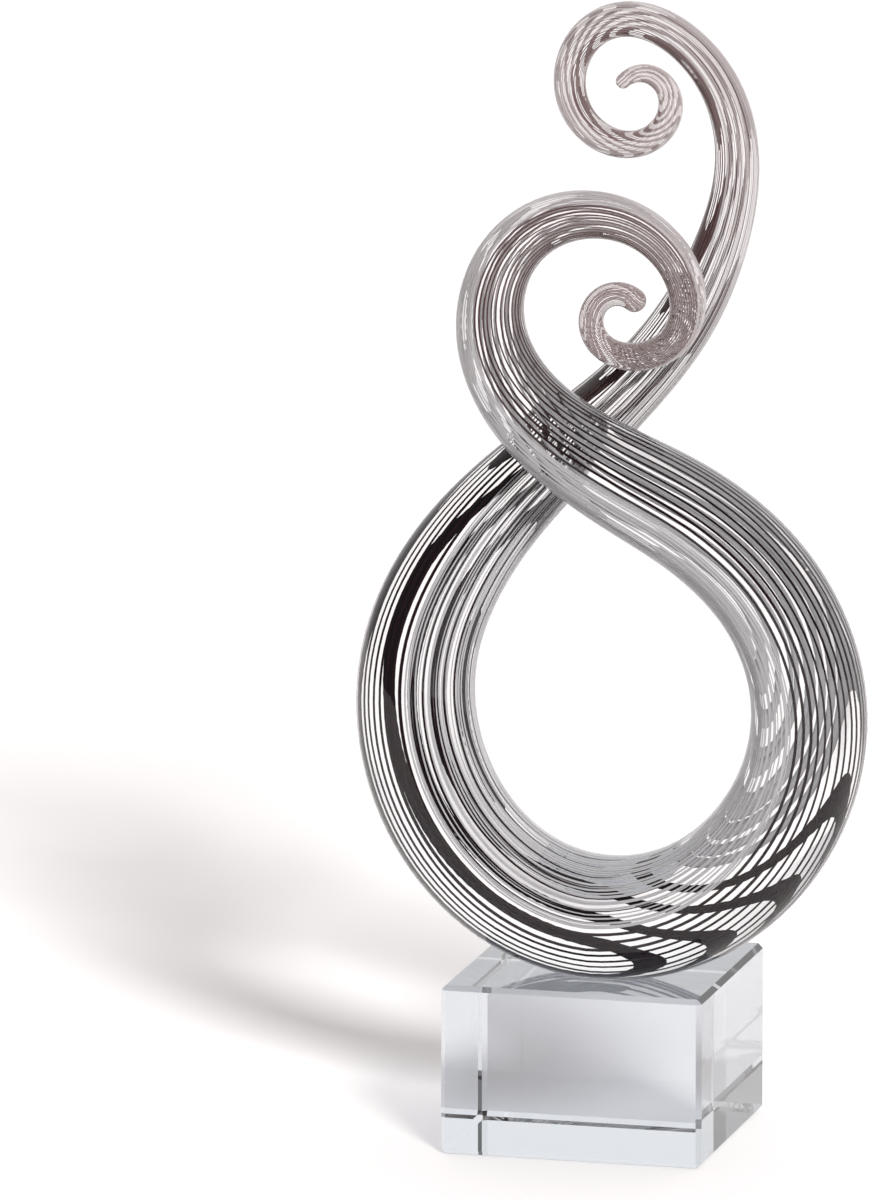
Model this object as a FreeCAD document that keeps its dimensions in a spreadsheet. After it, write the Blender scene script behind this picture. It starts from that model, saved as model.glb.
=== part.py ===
"""Glass wave sculpture.

One solid glass rod, thickest where it stands and drawn thin at both ends, is looped into a large ring.
Its two strands cross above the ring, one behind the other. The front strand closes a small ring that
winds inward to a blunt tip, and the rear strand rises and rolls into an open curl. Dark canes lie under
the skin on one side of the rod and white canes on the other. The foot is ground flat and bonded to a
bevelled crystal block.

The frame has its origin at the middle of the block's underside, X to the right, Y to the back and Z up.
"""
import FreeCAD, Part
import math
import os
import Sketcher

SIZES = (
    # the crystal block
    ("block_side", 76.0),
    ("block_height", 49),
    ("block_bevel", 1.4),
    # the bond between the block and the rod's ground foot
    ("bond_thickness", 0.15),
    ("bond_inset", 0.6),
    # where the rod stands on the block, measured from the block's middle, and how deep its foot is ground
    ("foot_right", 3.6),
    ("foot_forward", 13.5),
    ("foot_ground", 1.1),
    # the rod's radius at its thickest, and the ring's mean bend radius, which scales every run
    ("rod_radius", 18.0),
    ("ring_bend", 60.0),
    # clear distance between the two strands where they cross
    ("crossing_gap", 0.5),
    # how far a straight run may cut inside the true bend, and the longest straight run
    ("chord_sag", 0.42),
    ("longest_chord", 16.0),
    # the canes where the rod is thickest, and the clear skin over them
    ("dark_cane_radius", 0.5),
    ("white_cane_radius", 0.3),
    ("clear_skin", 0.9),
)

# The rod as it is walked from its foot, which starts at FOOT_RADIUS_SHARE. Each row is one run: its length
# as a share of ring_bend, how far the rod turns over it in degrees, and at its end the depth toward the
# back as a share of the strands' spacing and the rod's radius as a share of rod_radius.
FOOT_RADIUS_SHARE = 0.99
FRONT_RUN_SHARES = (
    (0.70, 41, -0.12, 0.965),
    (0.70, 36, -0.24, 0.93),
    (0.70, 40, -0.36, 0.89),
    (0.50, 25, -0.44, 0.87),
    (0.40, 11, -0.49, 0.83),
    (0.40, -6, -0.50, 0.74),
    (0.40, -22, -0.48, 0.635),
    (0.50, -49, -0.42, 0.505),
    (0.50, -60, -0.34, 0.405),
    (0.40, -48, -0.26, 0.335),
    (0.40, -57, -0.18, 0.29),
    (0.30, -62, -0.14, 0.24),
    (0.25, -53, -0.11, 0.21),
    (0.25, -95, -0.08, 0.195),
    (0.22, -99, -0.06, 0.19),
)
REAR_RUN_SHARES = (
    (0.70, -44, 0.13, 0.99),
    (0.70, -38, 0.27, 0.955),
    (0.70, -36, 0.40, 0.865),
    (0.70, -18, 0.49, 0.70),
    (0.60, 2, 0.50, 0.545),
    (0.60, 17, 0.48, 0.465),
    (0.60, 22, 0.43, 0.36),
    (0.50, 38, 0.36, 0.32),
    (0.40, 42, 0.32, 0.29),
    (0.35, 68, 0.29, 0.265),
    (0.35, 65, 0.26, 0.245),
    (0.35, 75, 0.24, 0.215),
    (0.30, 86, 0.23, 0.19),
    (0.30, 128, 0.22, 0.12),
)
# The radii of the two strands where they cross, as shares of rod_radius: with the gap they set the spacing.
CROSSING_RADIUS_SHARES = (0.74, 0.62)
# Small steps in which each run is walked.
STEPS_PER_RUN = 24

# The canes, by the angle round the rod from its front toward the ring's outside. Toward the front tip they
# twist back, by this many degrees for each ring_bend walked, the more the thinner the rod. They end where
# the rod is thinner than the last share.
DARK_CANES = 7
DARK_SIDES = 4
DARK_FROM = 17.0
DARK_SPAN = 174.0
WHITE_CANES = 5
WHITE_SIDES = 3
FRONT_TWIST = 5.5
CANE_END_SHARE = 0.25

doc = FreeCAD.newDocument("glass_wave_sculpture")
sheet = doc.addObject("Spreadsheet::Sheet", "sizes")
for row, (alias, value) in enumerate(SIZES, start=1):
    sheet.set(f"A{row}", alias)
    sheet.set(f"B{row}", str(value))
    sheet.setAlias(f"B{row}", alias)
doc.recompute()


def size(alias):
    """The value of one named cell, in millimetres."""
    return float(sheet.get(alias))


def blend(marks, values, place):
    """Smooth curve through (mark, value) pairs, read at a place between two marks."""
    slopes = [(b - a) / (q - p) for p, q, a, b in zip(marks, marks[1:], values, values[1:])]
    middles = [
        (before * (right - here) + after * (here - left)) / (right - left)
        for left, here, right, before, after in zip(marks, marks[1:], marks[2:], slopes, slopes[1:])
    ]
    tangents = [slopes[0]] + middles + [slopes[-1]]
    index = max(i for i, mark in enumerate(marks[:-1]) if mark <= place)
    span = marks[index + 1] - marks[index]
    part = (place - marks[index]) / span
    rest = 1 - part
    start = values[index] * (1 + 2 * part) * rest ** 2 + span * tangents[index] * part * rest ** 2
    end = values[index + 1] * part ** 2 * (3 - 2 * part) - span * tangents[index + 1] * part ** 2 * rest
    return start + end


def strand_spacing():
    """Distance in depth between the two strands' axes where they cross."""
    return size("rod_radius") * sum(CROSSING_RADIUS_SHARES) + size("crossing_gap")


def foot():
    """The rod's axis above its foot, so low that grinding takes foot_ground off its underside."""
    height = size("block_height") + size("bond_thickness") - size("foot_ground")
    height += size("rod_radius") * FOOT_RADIUS_SHARE
    return FreeCAD.Vector(size("foot_right"), -size("foot_forward"), height)


def walk(runs, heading, twist):
    """Walks one branch from the foot. Gives for each small step its point, rod radius and cane twist."""
    marks, turns, depths, radii = [0.0], [0.0], [0.0], [FOOT_RADIUS_SHARE]
    for length, turn, depth, radius in runs:
        marks.append(marks[-1] + length)
        turns.append(turns[-1] + turn)
        depths.append(depth)
        radii.append(radius)
    point, radius, angle = foot(), size("rod_radius") * FOOT_RADIUS_SHARE, 0.0
    steps = [(point, radius, angle)]
    for near, far in zip(marks, marks[1:]):
        stride = (far - near) / STEPS_PER_RUN
        for count in range(STEPS_PER_RUN):
            middle = near + stride * (count + 0.5)
            place = near + stride * (count + 1)
            direction = math.radians(heading + blend(marks, turns, middle))
            x = point.x + size("ring_bend") * stride * math.cos(direction)
            y = strand_spacing() * blend(marks, depths, place) - size("foot_forward")
            z = point.z + size("ring_bend") * stride * math.sin(direction)
            point = FreeCAD.Vector(x, y, z)
            radius = size("rod_radius") * blend(marks, radii, place)
            angle -= twist * stride / blend(marks, radii, middle) ** 2
            steps.append((point, radius, angle))
    return steps


def least_gap(steps):
    """The rod's least clear distance to itself, between places further apart along it than two diameters."""
    runs = [0.0]
    for (here, _, _), (after, _, _) in zip(steps, steps[1:]):
        runs.append(runs[-1] + here.distanceToPoint(after))
    gaps = []
    for index, (here, radius, _) in enumerate(steps):
        for other in range(index + 1, len(steps)):
            there, other_radius, _ = steps[other]
            reach = radius + other_radius
            if runs[other] - runs[index] > 2 * reach:
                gaps.append(here.distanceToPoint(there) - reach)
    return min(gaps)


def chosen(steps):
    """Picks the steps that carry a section: as few as keep the straight runs near the true bend."""
    kept = [0]
    for index in range(2, len(steps)):
        start = steps[kept[-1]][0]
        run = steps[index][0] - start
        sag = run.Length * run.getAngle(steps[kept[-1] + 1][0] - start) / 4
        if sag > size("chord_sag") or run.Length > size("longest_chord"):
            kept.append(index - 1)
    if steps[-1][0].distanceToPoint(steps[kept[-1]][0]) < steps[-1][1]:
        kept.pop()
    return kept + [len(steps) - 1]


def sections():
    """The rod's sections from the rear tip over the foot to the front tip.

    Each is its centre, radius, cane twist and three directions: along the rod, to its front and, square
    to both, to the ring's outside."""
    front = walk(FRONT_RUN_SHARES, 0, FRONT_TWIST)
    rear = walk(REAR_RUN_SHARES, 180, 0)
    whole = rear[:0:-1] + front
    print("least gap of the rod to itself", round(least_gap(whole), 2), "mm")
    foot_index = len(rear) - 1
    kept = [foot_index - step for step in reversed(chosen(rear)[1:])]
    kept += [foot_index + step for step in chosen(front)]
    found = []
    for index in kept:
        before = whole[max(index - 1, 0)][0]
        after = whole[min(index + 1, len(whole) - 1)][0]
        along = (after - before).normalize()
        to_front = FreeCAD.Vector(0, -1, 0)
        to_front = (to_front - along * to_front.dot(along)).normalize()
        found.append((*whole[index], along, to_front, along.cross(to_front)))
    return found


def placed(centre, x_axis, y_axis, z_axis):
    """Placement at a centre, with its own axes along three given directions."""
    return FreeCAD.Placement(centre, FreeCAD.Rotation(x_axis, y_axis, z_axis, "ZXY"))


SECTIONS = sections()


def crystal_block():
    """The block: a square pad with a bevel along every edge."""
    body = doc.addObject("PartDesign::Body", "crystal_block")
    plane = next(item for item in body.Origin.OriginFeatures if item.Role == "XY_Plane")
    sketch = body.newObject("Sketcher::SketchObject", "block_outline")
    sketch.AttachmentSupport = [(plane, "")]
    sketch.MapMode = "FlatFace"
    half = size("block_side") / 2
    corners = [(-half, -half), (half, -half), (half, half), (-half, half)]
    for start, end in zip(corners, corners[1:] + corners[:1]):
        sketch.addGeometry(Part.LineSegment(FreeCAD.Vector(*start, 0), FreeCAD.Vector(*end, 0)), False)
    for side in range(4):
        sketch.addConstraint(Sketcher.Constraint("Coincident", side, 2, (side + 1) % 4, 1))
    for side, way in enumerate(("Horizontal", "Vertical", "Horizontal", "Vertical")):
        sketch.addConstraint(Sketcher.Constraint(way, side))
    sketch.addConstraint(Sketcher.Constraint("Symmetric", 0, 1, 1, 2, -1, 1))
    for side, name in ((0, "width"), (1, "depth")):
        sketch.addConstraint(Sketcher.Constraint("Distance", side, size("block_side")))
        sketch.renameConstraint(sketch.ConstraintCount - 1, name)
        sketch.setExpression(f"Constraints.{name}", "sizes.block_side")
    pad = body.newObject("PartDesign::Pad", "block_pad")
    pad.Profile = sketch
    pad.setExpression("Length", "sizes.block_height")
    doc.recompute()
    bevel = body.newObject("PartDesign::Chamfer", "block_bevels")
    bevel.Base = (pad, [f"Edge{number}" for number in range(1, len(pad.Shape.Edges) + 1)])
    bevel.setExpression("Size", "sizes.block_bevel")
    body.Tip = bevel
    return body


def bond_film():
    """The clear bond: an ellipse a little inside the foot's ground flat, as thick as the joint."""
    beneath = "sizes.ring_bend + sizes.rod_radius - sizes.foot_ground / 2"
    outline = doc.addObject("Part::Ellipse", "bond_outline")
    outline.setExpression("MajorRadius", f"sqrt(2 * ({beneath}) * sizes.foot_ground) - sizes.bond_inset")
    across = "sizes.rod_radius - sizes.foot_ground / 2"
    outline.setExpression("MinorRadius", f"sqrt(2 * ({across}) * sizes.foot_ground) - sizes.bond_inset")
    centre = foot()
    outline.Placement.Base = FreeCAD.Vector(centre.x, centre.y, size("block_height"))
    film = doc.addObject("Part::Extrusion", "bond_film")
    film.Base = outline
    film.DirMode = "Custom"
    film.Dir = FreeCAD.Vector(0, 0, 1)
    film.Solid = True
    film.setExpression("LengthFwd", "sizes.bond_thickness")
    return film


def grinding_block():
    """What grinding takes away: a box whose top is the level of the foot's flat."""
    box = doc.addObject("Part::Box", "grinding_block")
    box.setExpression("Length", "2 * sizes.ring_bend")
    box.setExpression("Width", "4 * sizes.rod_radius")
    box.setExpression("Height", "sizes.rod_radius")
    level = size("block_height") + size("bond_thickness")
    corner = foot() - FreeCAD.Vector(size("ring_bend"), 2 * size("rod_radius"), 0)
    box.Placement.Base = FreeCAD.Vector(corner.x, corner.y, level - size("rod_radius"))
    return box


def glass_rod():
    """The clear rod: a ruled loft through its round sections, a dome on each tip and the ground foot."""
    rings = []
    for centre, radius, _, along, to_front, to_outside in SECTIONS:
        ring = doc.addObject("Part::Circle", "rod_section")
        ring.setExpression("Radius", f"sizes.rod_radius * {radius / size('rod_radius'):.5f}")
        ring.Placement = placed(centre, to_outside, to_front, along)
        rings.append(ring)
    skin = doc.addObject("Part::Loft", "rod_skin")
    skin.Sections = rings
    skin.Solid = True
    skin.Ruled = True
    pieces = [skin]
    for name, (centre, radius, _, along, to_front, to_outside), outward in (
        ("rear_dome", SECTIONS[0], -1),
        ("front_dome", SECTIONS[-1], 1),
    ):
        dome = doc.addObject("Part::Sphere", name)
        dome.setExpression("Radius", f"sizes.rod_radius * {radius / size('rod_radius'):.5f}")
        dome.Angle1 = 0
        dome.Placement = placed(centre, to_outside, to_front * outward, along * outward)
        pieces.append(dome)
    whole = doc.addObject("Part::MultiFuse", "rod_and_domes")
    whole.Shapes = pieces
    rod = doc.addObject("Part::Cut", "clear_glass_rod")
    rod.Base = whole
    rod.Tool = grinding_block()
    return rod


def triangles(corners):
    """Flat triangular faces that fill a flat or slightly warped outline, fanned from its first corner."""
    return [
        Part.Face(Part.makePolygon([corners[0], *pair, corners[0]]))
        for pair in zip(corners[1:], corners[2:])
    ]


def cane(name, angle, radius_name, sides):
    """One cane under the skin, where the rod is thick enough: flat facets between its small sections."""
    rows = []
    for centre, rod_radius, twist, along, to_front, to_outside in SECTIONS:
        share = rod_radius / size("rod_radius")
        if share < CANE_END_SHARE:
            continue
        turned = math.radians(angle + twist)
        outward = to_front * math.cos(turned) + to_outside * math.sin(turned)
        middle = centre + outward * (size("rod_radius") - size("clear_skin") - size(radius_name)) * share
        row = []
        for side in range(sides):
            corner = 2 * math.pi * side / sides
            reach = outward * math.cos(corner) + along.cross(outward) * math.sin(corner)
            row.append(middle + reach * size(radius_name) * share)
        rows.append(row)
    faces = triangles(rows[0][::-1]) + triangles(rows[-1])
    for near, far in zip(rows, rows[1:]):
        for side in range(sides):
            after = (side + 1) % sides
            faces += triangles([near[side], near[after], far[after], far[side]])
    thread = doc.addObject("Part::Feature", name)
    thread.Shape = Part.Solid(Part.Shell(faces))
    return thread


parts = [crystal_block(), bond_film(), glass_rod()]
for number in range(DARK_CANES):
    place = DARK_FROM + DARK_SPAN * (number + 0.5) / DARK_CANES
    parts.append(cane(f"dark_cane_{number + 1:02}", place, "dark_cane_radius", DARK_SIDES))
for number in range(WHITE_CANES):
    place = DARK_FROM + DARK_SPAN + (360 - DARK_SPAN) * (number + 0.5) / WHITE_CANES
    parts.append(cane(f"white_cane_{number + 1:02}", place, "white_cane_radius", WHITE_SIDES))
doc.recompute()

for item in doc.Objects:
    if "Invalid" in item.State or "Error" in item.State:
        raise RuntimeError(f"{item.Name} did not compute: {item.State}")
os.makedirs("parts", exist_ok=True)
for part in parts:
    if part.Shape.isNull() or not part.Shape.isValid() or not part.Shape.Solids:
        raise RuntimeError(f"{part.Label} has no valid solid")
    print(part.Label, len(part.Shape.Solids), "solid", round(part.Shape.Volume, 1), "mm3")
    part.Shape.exportStep(f"parts/{part.Label}.step")
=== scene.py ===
"""The glass wave sculpture's looks: a clear drawn rod with threads of dark and white glass under its skin,
bonded to a bevelled crystal block, on a white table. Metres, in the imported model's frame."""

import math

import bmesh
import bpy
from mathutils import Matrix, Vector


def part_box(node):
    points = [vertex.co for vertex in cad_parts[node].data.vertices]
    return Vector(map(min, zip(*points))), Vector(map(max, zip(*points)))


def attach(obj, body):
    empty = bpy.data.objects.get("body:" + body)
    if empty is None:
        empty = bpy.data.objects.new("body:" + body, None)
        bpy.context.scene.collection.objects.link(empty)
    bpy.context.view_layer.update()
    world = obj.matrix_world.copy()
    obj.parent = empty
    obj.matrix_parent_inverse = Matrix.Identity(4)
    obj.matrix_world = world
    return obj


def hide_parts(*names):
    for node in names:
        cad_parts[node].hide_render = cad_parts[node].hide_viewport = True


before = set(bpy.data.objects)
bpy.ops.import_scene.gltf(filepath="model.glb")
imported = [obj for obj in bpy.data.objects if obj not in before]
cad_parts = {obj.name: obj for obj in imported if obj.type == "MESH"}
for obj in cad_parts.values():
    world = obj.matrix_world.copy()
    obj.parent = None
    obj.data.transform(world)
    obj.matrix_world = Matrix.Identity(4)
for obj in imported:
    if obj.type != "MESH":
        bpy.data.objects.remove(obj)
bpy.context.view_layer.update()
bpy.context.scene.view_settings.view_transform = "Standard"

# Camera
# The photograph's own view: from a little to the right of the front and a little above, through a long
# lens. The block's top stands at a known pixel, and the scale there sets the lens.
IMAGE_WIDTH = 873
IMAGE_HEIGHT = 1200
VIEW_AZIMUTH = math.radians(14.65)
VIEW_ELEVATION = math.radians(11.91)
VIEW_DISTANCE = 5.0
BLOCK_TOP_PIXEL = (602.95, 963.73)
PIXELS_PER_METRE = 3513.1
block_low, block_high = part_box("crystal_block")
to_camera = Vector((
    math.sin(VIEW_AZIMUTH) * math.cos(VIEW_ELEVATION),
    -math.cos(VIEW_AZIMUTH) * math.cos(VIEW_ELEVATION),
    math.sin(VIEW_ELEVATION),
))
image_right = Vector((math.cos(VIEW_AZIMUTH), math.sin(VIEW_AZIMUTH), 0))
image_up = to_camera.cross(image_right)
block_top = Vector((0, 0, block_high.z))
beside = (BLOCK_TOP_PIXEL[0] - IMAGE_WIDTH / 2) / PIXELS_PER_METRE
above = (IMAGE_HEIGHT / 2 - BLOCK_TOP_PIXEL[1]) / PIXELS_PER_METRE
camera = bpy.data.objects.new("camera", bpy.data.cameras.new("camera"))
bpy.context.scene.collection.objects.link(camera)
bpy.context.scene.camera = camera
camera.data.lens = camera.data.sensor_width * PIXELS_PER_METRE * VIEW_DISTANCE / IMAGE_HEIGHT
camera.data.clip_end = 100
camera.matrix_world = Matrix.Translation(
    block_top - image_right * beside - image_up * above + to_camera * VIEW_DISTANCE
) @ Matrix((image_right, image_up, to_camera)).transposed().to_4x4()


# The clear rod
# One solid rod of clear glass, thick at its foot and drawn thin at both ends, bent hot into its rings and
# curls. Its foot is ground flat, and its skin is fire polished, with the slight ripples that leaves.
ROD_RADIUS = 0.018
RING_BEND = 0.060
CROSSING_GAP = 0.0005
FOOT_RIGHT = 0.0036
FOOT_FORWARD = 0.0135
FOOT_GROUND = 0.0011
FOOT_RADIUS_SHARE = 0.99
# Each run of the rod from its foot: its length as a share of the ring's bend, its turn in degrees and, at
# its end, the depth as a share of the strands' spacing, the radius as a share of the thickest and the
# twist of the threads in degrees.
FRONT_RUN_SHARES = (
    (0.70, 41, -0.12, 0.965, -3),
    (0.70, 36, -0.24, 0.93, -4),
    (0.70, 40, -0.36, 0.89, -5),
    (0.50, 25, -0.44, 0.87, -5),
    (0.40, 11, -0.49, 0.83, -5),
    (0.40, -6, -0.50, 0.74, -6),
    (0.40, -22, -0.48, 0.635, -11),
    (0.50, -49, -0.42, 0.505, -21),
    (0.50, -60, -0.34, 0.405, -34),
    (0.40, -48, -0.26, 0.335, -42),
    (0.40, -57, -0.18, 0.29, -46),
    (0.30, -62, -0.14, 0.24, -61),
    (0.25, -53, -0.11, 0.21, -86),
    (0.25, -95, -0.08, 0.195, -116),
    (0.22, -99, -0.06, 0.19, -146),
)
REAR_RUN_SHARES = (
    (0.70, -44, 0.13, 0.99, -6),
    (0.70, -38, 0.27, 0.955, -4),
    (0.70, -36, 0.40, 0.865, 5),
    (0.70, -18, 0.49, 0.70, 16),
    (0.60, 2, 0.50, 0.545, 18),
    (0.60, 17, 0.48, 0.465, 17),
    (0.60, 22, 0.43, 0.36, 16),
    (0.50, 38, 0.36, 0.32, 16),
    (0.40, 42, 0.32, 0.29, 16),
    (0.35, 68, 0.29, 0.265, 16),
    (0.35, 65, 0.26, 0.245, 19),
    (0.35, 75, 0.24, 0.215, 24),
    (0.30, 86, 0.23, 0.19, 34),
    (0.30, 128, 0.22, 0.12, 49),
)
CROSSING_RADIUS_SHARES = (0.74, 0.62)
STEPS_PER_RUN = 24
STEPS_PER_STATION = 2
DOME_STATIONS = 8
bond_low, bond_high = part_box("bond_film")
ground_level = bond_high.z


def blend(marks, values, place):
    """Smooth curve through (mark, value) pairs, read at a place between two marks."""
    slopes = [(b - a) / (q - p) for p, q, a, b in zip(marks, marks[1:], values, values[1:])]
    middles = [
        (before * (right - here) + after * (here - left)) / (right - left)
        for left, here, right, before, after in zip(marks, marks[1:], marks[2:], slopes, slopes[1:])
    ]
    tangents = [slopes[0]] + middles + [slopes[-1]]
    index = max(i for i, mark in enumerate(marks[:-1]) if mark <= place)
    span = marks[index + 1] - marks[index]
    part = (place - marks[index]) / span
    rest = 1 - part
    start = values[index] * (1 + 2 * part) * rest ** 2 + span * tangents[index] * part * rest ** 2
    end = values[index + 1] * part ** 2 * (3 - 2 * part) - span * tangents[index + 1] * part ** 2 * rest
    return start + end


def walk(runs, heading):
    """Walks one branch from the foot. Gives for each small step its point, rod radius and twist."""
    spacing = ROD_RADIUS * sum(CROSSING_RADIUS_SHARES) + CROSSING_GAP
    marks, turns, depths, radii, twists = [0.0], [0.0], [0.0], [FOOT_RADIUS_SHARE], [0.0]
    for length, turn, depth, radius, twist in runs:
        marks.append(marks[-1] + length)
        turns.append(turns[-1] + turn)
        depths.append(depth)
        radii.append(radius)
        twists.append(twist)
    radius = ROD_RADIUS * FOOT_RADIUS_SHARE
    point = Vector((FOOT_RIGHT, -FOOT_FORWARD, ground_level - FOOT_GROUND + radius))
    steps = [(point, radius, 0.0)]
    for near, far in zip(marks, marks[1:]):
        stride = (far - near) / STEPS_PER_RUN
        for count in range(STEPS_PER_RUN):
            middle = near + stride * (count + 0.5)
            place = near + stride * (count + 1)
            direction = math.radians(heading + blend(marks, turns, middle))
            x = point.x + RING_BEND * stride * math.cos(direction)
            y = spacing * blend(marks, depths, place) - FOOT_FORWARD
            z = point.z + RING_BEND * stride * math.sin(direction)
            point = Vector((x, y, z))
            radius = ROD_RADIUS * blend(marks, radii, place)
            angle = math.radians(blend(marks, twists, place))
            steps.append((point, radius, angle))
    return steps


def domed(steps):
    """The steps, with stations added past the last one on which the radius closes in a round dome."""
    point, radius, angle = steps[-1]
    ahead = (point - steps[-2][0]).normalized()
    turns = [math.pi / 2 * (count + 1) / DOME_STATIONS for count in range(DOME_STATIONS)]
    return steps + [(point + ahead * radius * math.sin(t), radius * math.cos(t), angle) for t in turns]


def centre_line():
    """The rod's centre line from the rear tip to the front tip, as a mesh of points and edges. Each point
    carries the rod's radius, the threads' twist, two directions across the rod and its reach: -1 at the
    rear tip, 0 at the foot and about 1 at the front tip."""
    front = domed(walk(FRONT_RUN_SHARES, 0)[::STEPS_PER_STATION])
    rear = domed(walk(REAR_RUN_SHARES, 180)[::STEPS_PER_STATION])
    stations = rear[:0:-1] + front
    points = [point for point, _, _ in stations]
    foot = len(rear) - 1
    to_front, to_outside = [], []
    for index in range(len(points)):
        along = (points[min(index + 1, len(points) - 1)] - points[max(index - 1, 0)]).normalized()
        forward = Vector((0, -1, 0))
        forward = (forward - along * forward.dot(along)).normalized()
        to_front.append(forward)
        to_outside.append(along.cross(forward))
    mesh = bpy.data.meshes.new("centre_line")
    mesh.from_pydata(points, [(index, index + 1) for index in range(len(points) - 1)], [])
    for name, kind, field, values in (
        ("rod_radius", "FLOAT", "value", [radius for _, radius, _ in stations]),
        ("twist", "FLOAT", "value", [angle for _, _, angle in stations]),
        ("reach", "FLOAT", "value", [(index - foot) / foot for index in range(len(points))]),
        ("to_front", "FLOAT_VECTOR", "vector", [part for direction in to_front for part in direction]),
        ("to_outside", "FLOAT_VECTOR", "vector", [part for direction in to_outside for part in direction]),
    ):
        mesh.attributes.new(name, kind, "POINT").data.foreach_set(field, values)
    return mesh


class Wire:
    """One socket of a node tree. A sum or product written on it adds its Math node."""

    def __init__(self, nodes, socket):
        self.nodes = nodes
        self.socket = socket

    def __add__(self, other):
        return self.nodes.maths("ADD", self, other)

    def __radd__(self, other):
        return self.nodes.maths("ADD", other, self)

    def __sub__(self, other):
        return self.nodes.maths("SUBTRACT", self, other)

    def __rsub__(self, other):
        return self.nodes.maths("SUBTRACT", other, self)

    def __mul__(self, other):
        return self.nodes.maths("MULTIPLY", self, other)

    def __rmul__(self, other):
        return self.nodes.maths("MULTIPLY", other, self)


class Nodes:
    """A node tree that is being filled."""

    def __init__(self, tree):
        self.tree = tree

    def make(self, kind, settings=(), inputs=(), output=0):
        """Adds a node: its type, its settings, the values or wires of its sockets, and the output wanted."""
        node = self.tree.nodes.new(kind)
        for name, value in dict(settings).items():
            if name == "stops":
                while len(node.color_ramp.elements) < len(value):
                    node.color_ramp.elements.new(1)
                for element, (place, colour) in zip(node.color_ramp.elements, value):
                    element.position = place
                    element.color = colour
            else:
                setattr(node, name, value)
        for name, value in dict(inputs).items():
            if isinstance(value, Wire):
                self.tree.links.new(value.socket, node.inputs[name])
            else:
                node.inputs[name].default_value = value
        return Wire(self, node.outputs[output]) if node.outputs else None

    def maths(self, operation, *values):
        """A Math node on wires and numbers."""
        return self.make("ShaderNodeMath", {"operation": operation}, enumerate(values))

    def vector(self, operation, inputs):
        """A Vector Math node on wires and vectors."""
        return self.make("ShaderNodeVectorMath", {"operation": operation}, inputs)


def named_tree(name, sizes):
    """A geometry tree with one named input for each size, and the wires of its inputs."""
    tree = bpy.data.node_groups.new(name, "GeometryNodeTree")
    tree.interface.new_socket("Geometry", in_out="INPUT", socket_type="NodeSocketGeometry")
    tree.interface.new_socket("Geometry", in_out="OUTPUT", socket_type="NodeSocketGeometry")
    for label, kind in sizes:
        tree.interface.new_socket(label, in_out="INPUT", socket_type=kind)
    nodes = Nodes(tree)
    group = tree.nodes.new("NodeGroupInput")
    return nodes, {socket.name: Wire(nodes, socket) for socket in group.outputs if socket.name}


def attribute(nodes, name, kind="FLOAT"):
    """A wire of one of the centre line's own values."""
    return nodes.make("GeometryNodeInputNamedAttribute", {"data_type": kind}, {"Name": name})


def drawn_tubes(nodes, curve, radius, sides, ground, material):
    """Ends a tree: round tubes along its curves, cut flat at the ground level, smooth and finished."""
    circle = nodes.make("GeometryNodeCurvePrimitiveCircle", (), {"Resolution": sides, "Radius": 1.0})
    tube = nodes.make("GeometryNodeCurveToMesh", (), {
        "Curve": curve, "Profile Curve": circle, "Scale": radius, "Fill Caps": True,
    })
    tube = nodes.make("GeometryNodeMergeByDistance", (), {"Geometry": tube, "Distance": MERGE_DISTANCE})
    place = nodes.make("GeometryNodeInputPosition")
    parts = nodes.make("ShaderNodeSeparateXYZ", (), {"Vector": place})
    separate = parts.socket.node
    height = nodes.maths("MAXIMUM", Wire(nodes, separate.outputs["Z"]), ground)
    flat = nodes.make("ShaderNodeCombineXYZ", (), {
        "X": Wire(nodes, separate.outputs["X"]), "Y": Wire(nodes, separate.outputs["Y"]), "Z": height,
    })
    tube = nodes.make("GeometryNodeSetPosition", (), {"Geometry": tube, "Position": flat})
    tube = nodes.make("GeometryNodeSetShadeSmooth", (), {"Geometry": tube, "Shade Smooth": True})
    tube = nodes.make("GeometryNodeRealizeInstances", (), {"Geometry": tube})
    tube = nodes.make("GeometryNodeSetMaterial", (), {"Geometry": tube, "Material": material})
    nodes.make("NodeGroupOutput", (), {"Geometry": tube})


def baked(name, mesh, tree, sizes):
    """A plain object made by running a tree with its sizes on a mesh."""
    source = bpy.data.objects.new(name + "_source", mesh)
    bpy.context.scene.collection.objects.link(source)
    modifier = source.modifiers.new("shape", "NODES")
    modifier.node_group = tree
    names = {item.name: item.identifier for item in tree.interface.items_tree if item.in_out == "INPUT"}
    for label, value in sizes.items():
        modifier[names[label]] = value
    evaluated = source.evaluated_get(bpy.context.evaluated_depsgraph_get())
    made = bpy.data.objects.new(name, bpy.data.meshes.new_from_object(evaluated))
    bpy.data.objects.remove(source)
    bpy.context.scene.collection.objects.link(made)
    return made


MERGE_DISTANCE = 1e-6
ROD_SIDES = 96
ROD_TINT = (0.965, 0.963, 0.965, 1)
ROD_SHADE = (0.51, 0.485, 0.485, 1)
GLASS_IOR = 1.5
RIPPLE_SCALE = 60.0
RIPPLE_HEIGHT = 0.00002
RIPPLE_DETAIL = 2.0


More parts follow.
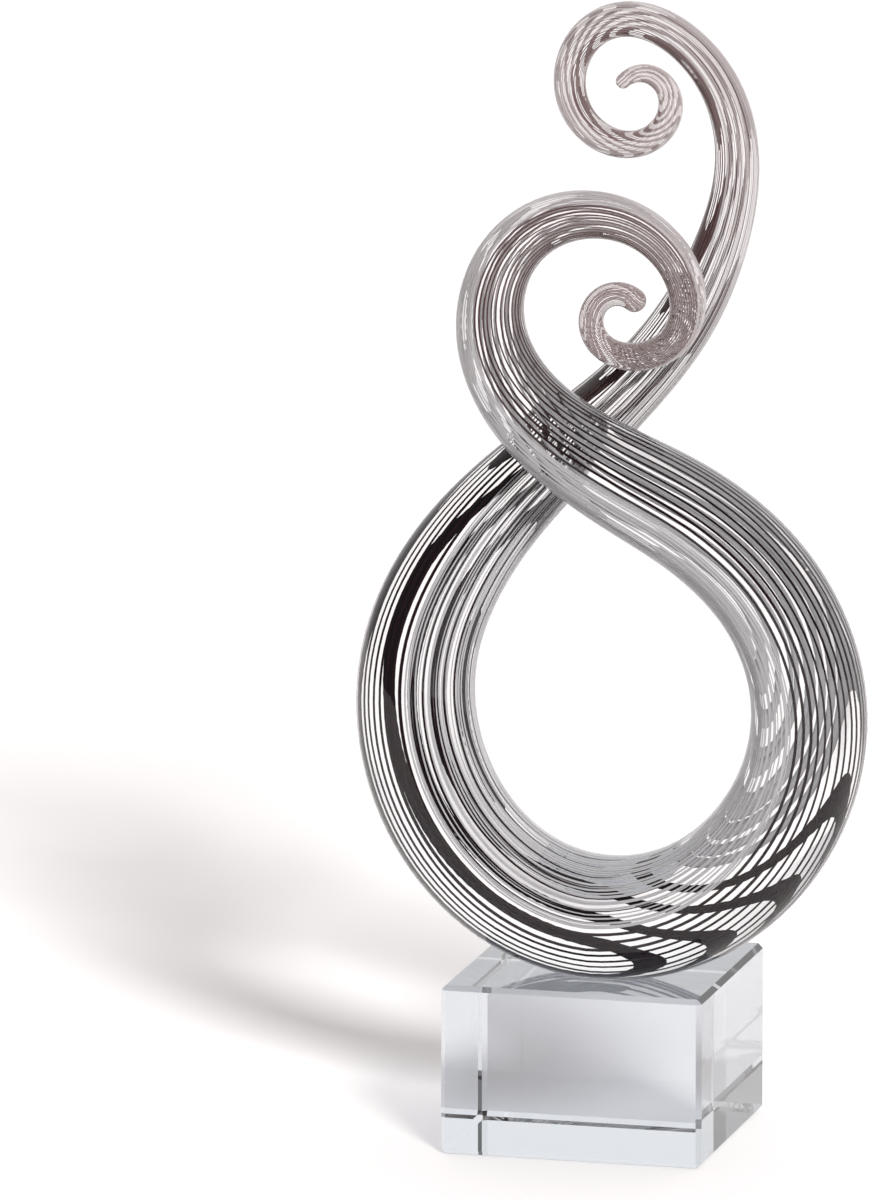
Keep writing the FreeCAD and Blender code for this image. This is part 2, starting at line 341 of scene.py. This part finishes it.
def clear_glass(name, tint, shade, ior, ripple_scale, ripple_height):
    """Clear glass. What it lets through of a lamp's light to what lies inside and behind is its shade."""
    material = bpy.data.materials.new(name)
    material.use_nodes = True
    material.node_tree.nodes.clear()
    nodes = Nodes(material.node_tree)
    place = nodes.make("ShaderNodeTexCoord", output="Object")
    ripple = nodes.make("ShaderNodeTexNoise", (), {
        "Vector": place, "Scale": ripple_scale, "Detail": RIPPLE_DETAIL,
    })
    bump = nodes.make("ShaderNodeBump", (), {"Height": ripple, "Distance": ripple_height})
    glass = nodes.make("ShaderNodeBsdfPrincipled", (), {
        "Base Color": tint, "Roughness": 0.0, "IOR": ior, "Transmission Weight": 1.0, "Normal": bump,
    })
    clear = nodes.make("ShaderNodeBsdfTransparent", (), {"Color": shade})
    shadow = nodes.make("ShaderNodeLightPath", output="Is Shadow Ray")
    mixed = nodes.make("ShaderNodeMixShader", (), {0: shadow, 1: glass, 2: clear})
    nodes.make("ShaderNodeOutputMaterial", (), {"Surface": mixed})
    return material


path = centre_line()
rod_nodes, rod_sizes = named_tree("drawn_rod", (
    ("Sides", "NodeSocketInt"), ("Ground Level", "NodeSocketFloat"), ("Material", "NodeSocketMaterial"),
))
drawn_tubes(
    rod_nodes,
    rod_nodes.make("GeometryNodeMeshToCurve", (), {"Mesh": rod_sizes["Geometry"]}),
    attribute(rod_nodes, "rod_radius"),
    rod_sizes["Sides"], rod_sizes["Ground Level"], rod_sizes["Material"],
)
rod_glass = clear_glass("clear_rod_glass", ROD_TINT, ROD_SHADE, GLASS_IOR, RIPPLE_SCALE, RIPPLE_HEIGHT)
# The flat reaches a little into the bond film, so that no two faces of glass share a plane.
FACE_OVERLAP = 0.00003
rod = baked("clear_rod", path, rod_nodes.tree, {
    "Sides": ROD_SIDES, "Ground Level": ground_level - FACE_OVERLAP, "Material": rod_glass,
})
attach(rod, "root")
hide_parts("clear_glass_rod")


# The threads
# Canes of dark violet and of white glass, rolled on the rod before it was cased in clear and drawn. They
# follow it just under its skin, thin and pale as it thins, and twist toward both tips. A few dark ones on
# the inner side of the rear strand end in a point a little past the foot.
DRAWN_FROM_SHARE = 0.56
DRAWN_TO_SHARE = 0.32
FULLER_FROM_X = 0.01
FULLER_TO_X = -0.05
POINT_LENGTH = 0.12
POINT_SHARE = 0.2
DRIFT_SCALE = 25.0
DRIFT_BETWEEN_THREADS = 7.3
thread_nodes, thread_sizes = named_tree("threads_under_the_skin", (
    ("Threads", "NodeSocketInt"), ("First Angle", "NodeSocketFloat"), ("Pitch", "NodeSocketFloat"),
    ("Depth Share", "NodeSocketFloat"), ("Thickness Share", "NodeSocketFloat"),
    ("Drawn Growth", "NodeSocketFloat"), ("Left Growth", "NodeSocketFloat"), ("Ends At", "NodeSocketFloat"),
    ("Unevenness", "NodeSocketFloat"), ("Looseness", "NodeSocketFloat"), ("Wander", "NodeSocketFloat"),
    ("Seed", "NodeSocketInt"), ("Sides", "NodeSocketInt"), ("Ground Level", "NodeSocketFloat"),
    ("Material", "NodeSocketMaterial"),
))


def thread_tree(nodes, sizes):
    """Threads round the centre line: copies of it, each moved out to its own angle."""
    reach = attribute(nodes, "reach")
    kept = nodes.make("GeometryNodeDeleteGeometry", {"domain": "POINT"}, {
        "Geometry": sizes["Geometry"], "Selection": nodes.maths("GREATER_THAN", reach, sizes["Ends At"]),
    })
    line = nodes.make("GeometryNodeMeshToCurve", (), {"Mesh": kept})
    copies = nodes.make("GeometryNodeDuplicateElements", {"domain": "SPLINE"}, {
        "Geometry": line, "Amount": sizes["Threads"],
    })
    number = Wire(nodes, copies.socket.node.outputs["Duplicate Index"])
    radius = attribute(nodes, "rod_radius")
    chance = nodes.make("FunctionNodeRandomValue", {"data_type": "FLOAT"}, {
        2: -1.0, 3: 1.0, "ID": number, "Seed": sizes["Seed"],
    }, output=1)
    place = nodes.make("GeometryNodeInputPosition")
    drift = nodes.make("ShaderNodeTexNoise", {"noise_dimensions": "4D"}, {
        "Vector": place, "W": number * DRIFT_BETWEEN_THREADS + sizes["Seed"], "Scale": DRIFT_SCALE,
        "Detail": 0.0,
    })
    angle = sizes["First Angle"] + sizes["Pitch"] * number + attribute(nodes, "twist")
    strayed = (drift - 0.5) * sizes["Wander"] + chance * sizes["Looseness"]
    angle = angle + strayed * sizes["Pitch"]
    forward = nodes.vector("SCALE", {
        0: attribute(nodes, "to_front", "FLOAT_VECTOR"), "Scale": nodes.maths("COSINE", angle),
    })
    outward = nodes.vector("SCALE", {
        0: attribute(nodes, "to_outside", "FLOAT_VECTOR"), "Scale": nodes.maths("SINE", angle),
    })
    across = nodes.vector("ADD", {0: forward, 1: outward})
    offset = nodes.vector("SCALE", {0: across, "Scale": radius * sizes["Depth Share"]})
    moved = nodes.make("GeometryNodeSetPosition", (), {"Geometry": copies, "Offset": offset})
    drawn = nodes.make("ShaderNodeMapRange", (), {
        "Value": radius, "From Min": ROD_RADIUS * DRAWN_TO_SHARE, "From Max": ROD_RADIUS * DRAWN_FROM_SHARE,
        "To Min": sizes["Drawn Growth"], "To Max": 1.0,
    })
    right = nodes.make("ShaderNodeSeparateXYZ", (), {"Vector": place})
    fuller = nodes.make("ShaderNodeMapRange", (), {
        "Value": right, "From Min": FULLER_TO_X, "From Max": FULLER_FROM_X,
        "To Min": sizes["Left Growth"], "To Max": 1.0,
    })
    pointed = nodes.make("ShaderNodeMapRange", (), {
        "Value": reach, "From Min": sizes["Ends At"] - POINT_LENGTH, "From Max": sizes["Ends At"],
        "To Min": 1.0, "To Max": POINT_SHARE,
    })
    thickness = radius * sizes["Thickness Share"] * drawn * fuller * pointed
    thickness = thickness * (chance * sizes["Unevenness"] + 1)
    drawn_tubes(nodes, moved, thickness, sizes["Sides"], sizes["Ground Level"], sizes["Material"])


thread_tree(thread_nodes, thread_sizes)


PALE_FROM_SHARE = 0.75
PALE_TO_SHARE = 0.15
DRAWN_STOP = 0.35


def thread_glass(name, tip_colour, drawn_colour, thick_colour, roughness):
    """Coloured glass, whose colour pales where the rod is drawn thin."""
    material = bpy.data.materials.new(name)
    material.use_nodes = True
    material.node_tree.nodes.clear()
    nodes = Nodes(material.node_tree)
    radius = nodes.make("ShaderNodeAttribute", {"attribute_name": "rod_radius"}, output="Fac")
    share = nodes.make("ShaderNodeMapRange", (), {
        "Value": radius, "From Min": ROD_RADIUS * PALE_TO_SHARE, "From Max": ROD_RADIUS * PALE_FROM_SHARE,
    })
    colour = nodes.make("ShaderNodeValToRGB", {
        "stops": ((0.0, tip_colour), (DRAWN_STOP, drawn_colour), (1.0, thick_colour)),
    }, {"Fac": share})
    glass = nodes.make("ShaderNodeBsdfPrincipled", (), {
        "Base Color": colour, "Roughness": roughness, "Specular IOR Level": 0.0,
    })
    nodes.make("ShaderNodeOutputMaterial", (), {"Surface": glass})
    return material


thread_glasses = {
    "dark": thread_glass(
        "dark_thread_glass", (0.50, 0.40, 0.39, 1), (0.20, 0.12, 0.118, 1), (0.016, 0.005, 0.008, 1), 0.3
    ),
    "white": thread_glass(
        "white_thread_glass", (0.76, 0.70, 0.695, 1), (0.71, 0.68, 0.68, 1), (0.63, 0.635, 0.65, 1), 0.4
    ),
}
DARK_SPAN = 186.0
SHORT_SPAN = 86.0
WHOLE = 2.0
# Each row of threads: its glass, its pieces' name, the number of pieces and of threads, where it starts and
# how far it goes round in degrees, its threads' depth and thickness as shares of the rod's radius, their
# growth where drawn and on the left, where they end, how uneven, loose and wandering they are, and their
# number of sides.
for (
    kind, label, groups, threads, start, span, depth, thick, drawn, fuller, end, uneven, loose, wander, sides
) in (
    ("dark", "dark", 7, 24, 0.0, DARK_SPAN, 0.95, 0.0220, 1.25, 1.20, WHOLE, 0.20, 0.10, 0.25, 10),
    ("dark", "short_dark", 1, 7, -SHORT_SPAN, SHORT_SPAN, 0.96, 0.0175, 0.60, 1.00, 0.05, 0.20, 0.20, 0.30,
     10),
    ("white", "white", 5, 56, DARK_SPAN, 360 - DARK_SPAN, 0.95, 0.0150, 1.0, 1.0, WHOLE, 0.45, 0.40, 0.8, 8),
):
    pitch = math.radians(span / threads)
    for group in range(groups):
        first = round(threads * group / groups)
        after = round(threads * (group + 1) / groups)
        piece = baked(f"{label}_threads_{group + 1:02}", path, thread_nodes.tree, {
            "Threads": after - first,
            "First Angle": math.radians(start) + pitch * (first + 0.5),
            "Pitch": pitch,
            "Depth Share": depth,
            "Thickness Share": thick,
            "Drawn Growth": drawn,
            "Left Growth": fuller,
            "Ends At": end,
            "Unevenness": uneven,
            "Looseness": loose,
            "Wander": wander,
            "Seed": group,
            "Sides": sides,
            "Ground Level": ground_level,
            "Material": thread_glasses[kind],
        })
        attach(piece, "root")
        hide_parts(f"{kind}_cane_{group + 1:02}")


# The bond
# A thin film of clear cured adhesive between the ground foot and the block's top.
BOND_TINT = (0.99, 0.99, 0.99, 1)
BOND_SEGMENTS = 64
BOND_RIPPLE_SCALE = 200.0
BOND_RIPPLE_HEIGHT = 0.000001
film = bpy.data.meshes.new("bond")
shape = bmesh.new()
bmesh.ops.create_cone(
    shape, cap_ends=True, segments=BOND_SEGMENTS, radius1=0.5, radius2=0.5, depth=1,
    matrix=Matrix.Translation((bond_low + bond_high) / 2) @ Matrix.Diagonal((
        bond_high.x - bond_low.x, bond_high.y - bond_low.y,
        bond_high.z - bond_low.z + 2 * FACE_OVERLAP, 1,
    )),
)
shape.to_mesh(film)
shape.free()
bond = bpy.data.objects.new("bond", film)
bpy.context.scene.collection.objects.link(bond)
film.materials.append(clear_glass(
    "clear_bond", BOND_TINT, BOND_TINT, GLASS_IOR, BOND_RIPPLE_SCALE, BOND_RIPPLE_HEIGHT
))
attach(bond, "root")
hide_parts("bond_film")


# The crystal block
# Cast optical crystal, ground and polished flat, with a small bevel along every edge.
BLOCK_TINT = (0.70, 0.735, 0.775, 1)
BLOCK_SHADE = (0.72, 0.73, 0.75, 1)
CRYSTAL_IOR = 1.52
BLOCK_RIPPLE_SCALE = 30.0
BLOCK_RIPPLE_HEIGHT = 0.000002
crystal = clear_glass(
    "block_crystal", BLOCK_TINT, BLOCK_SHADE, CRYSTAL_IOR, BLOCK_RIPPLE_SCALE, BLOCK_RIPPLE_HEIGHT
)
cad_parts["crystal_block"].material_slots[0].material = crystal


# Table and light
# A white table, a soft lamp to the front and right, and a pale room. What the camera sees past the table
# is plain white.
TABLE_SIZE = 12.0
TABLE_GAP = 0.0002
TABLE_COLOUR = (0.93, 0.90, 0.895, 1)
SEEN_WHITER = 0.005
table = bpy.data.meshes.new("table")
shape = bmesh.new()
bmesh.ops.create_grid(
    shape, x_segments=1, y_segments=1, size=TABLE_SIZE / 2,
    matrix=Matrix.Translation((0, 0, block_low.z - TABLE_GAP)),
)
shape.to_mesh(table)
shape.free()
table_top = bpy.data.objects.new("table_top", table)
bpy.context.scene.collection.objects.link(table_top)
white_top = bpy.data.materials.new("white_table")
white_top.use_nodes = True
white_top.node_tree.nodes.clear()
nodes = Nodes(white_top.node_tree)
matt = nodes.make("ShaderNodeBsdfDiffuse", (), {"Color": TABLE_COLOUR})
glow = nodes.make("ShaderNodeEmission", (), {"Color": (1, 1, 1, 1), "Strength": SEEN_WHITER})
whiter = nodes.make("ShaderNodeAddShader", (), {0: matt, 1: glow})
seen = nodes.make("ShaderNodeLightPath", output="Is Camera Ray")
plain = nodes.make("ShaderNodeMixShader", (), {0: seen, 1: matt, 2: whiter})
nodes.make("ShaderNodeOutputMaterial", (), {"Surface": plain})
table.materials.append(white_top)

LAMP_AZIMUTH = math.radians(34)
LAMP_ELEVATION = math.radians(29)
LAMP_SOFTNESS = math.radians(13)
LAMP_POWER = 4.15
lamp = bpy.data.objects.new("soft_lamp", bpy.data.lights.new("soft_lamp", "SUN"))
bpy.context.scene.collection.objects.link(lamp)
lamp.data.angle = LAMP_SOFTNESS
lamp.data.energy = LAMP_POWER
toward_lamp = Vector((
    math.sin(LAMP_AZIMUTH) * math.cos(LAMP_ELEVATION),
    -math.cos(LAMP_AZIMUTH) * math.cos(LAMP_ELEVATION),
    math.sin(LAMP_ELEVATION),
))
lamp.matrix_world = (-toward_lamp).to_track_quat("-Z", "Y").to_matrix().to_4x4()
lamp.visible_glossy = False
lamp.visible_transmission = False

# The room is bright behind and above the object and dimmer beside and before it, which draws the grey
# edges of clear glass.
ROOM_DIM = 0.18
ROOM_BRIGHT = 1.15
ROOM_COLOUR = (1, 0.99, 0.99, 1)
BRIGHT_BEHIND = 0.9
BRIGHT_ABOVE = 0.45
DIM_UP_TO = -0.1
BRIGHT_FROM = 1.0
world = bpy.data.worlds.new("studio")
bpy.context.scene.world = world
world.use_nodes = True
world.node_tree.nodes.clear()
nodes = Nodes(world.node_tree)
toward = nodes.make("ShaderNodeTexCoord", output="Generated")
parts = nodes.make("ShaderNodeSeparateXYZ", (), {"Vector": toward}).socket.node
behind = Wire(nodes, parts.outputs["Y"]) * BRIGHT_BEHIND + Wire(nodes, parts.outputs["Z"]) * BRIGHT_ABOVE
level = nodes.make("ShaderNodeMapRange", (), {
    "Value": behind, "From Min": DIM_UP_TO, "From Max": BRIGHT_FROM,
    "To Min": ROOM_DIM, "To Max": ROOM_BRIGHT,
})
seen = nodes.make("ShaderNodeLightPath", output="Is Camera Ray")
surroundings = nodes.make("ShaderNodeBackground", (), {"Color": ROOM_COLOUR, "Strength": level})
backdrop = nodes.make("ShaderNodeBackground", (), {"Color": (1, 1, 1, 1), "Strength": 1.0})
nodes.make("ShaderNodeOutputWorld", (), {
    "Surface": nodes.make("ShaderNodeMixShader", (), {0: seen, 1: surroundings, 2: backdrop}),
})
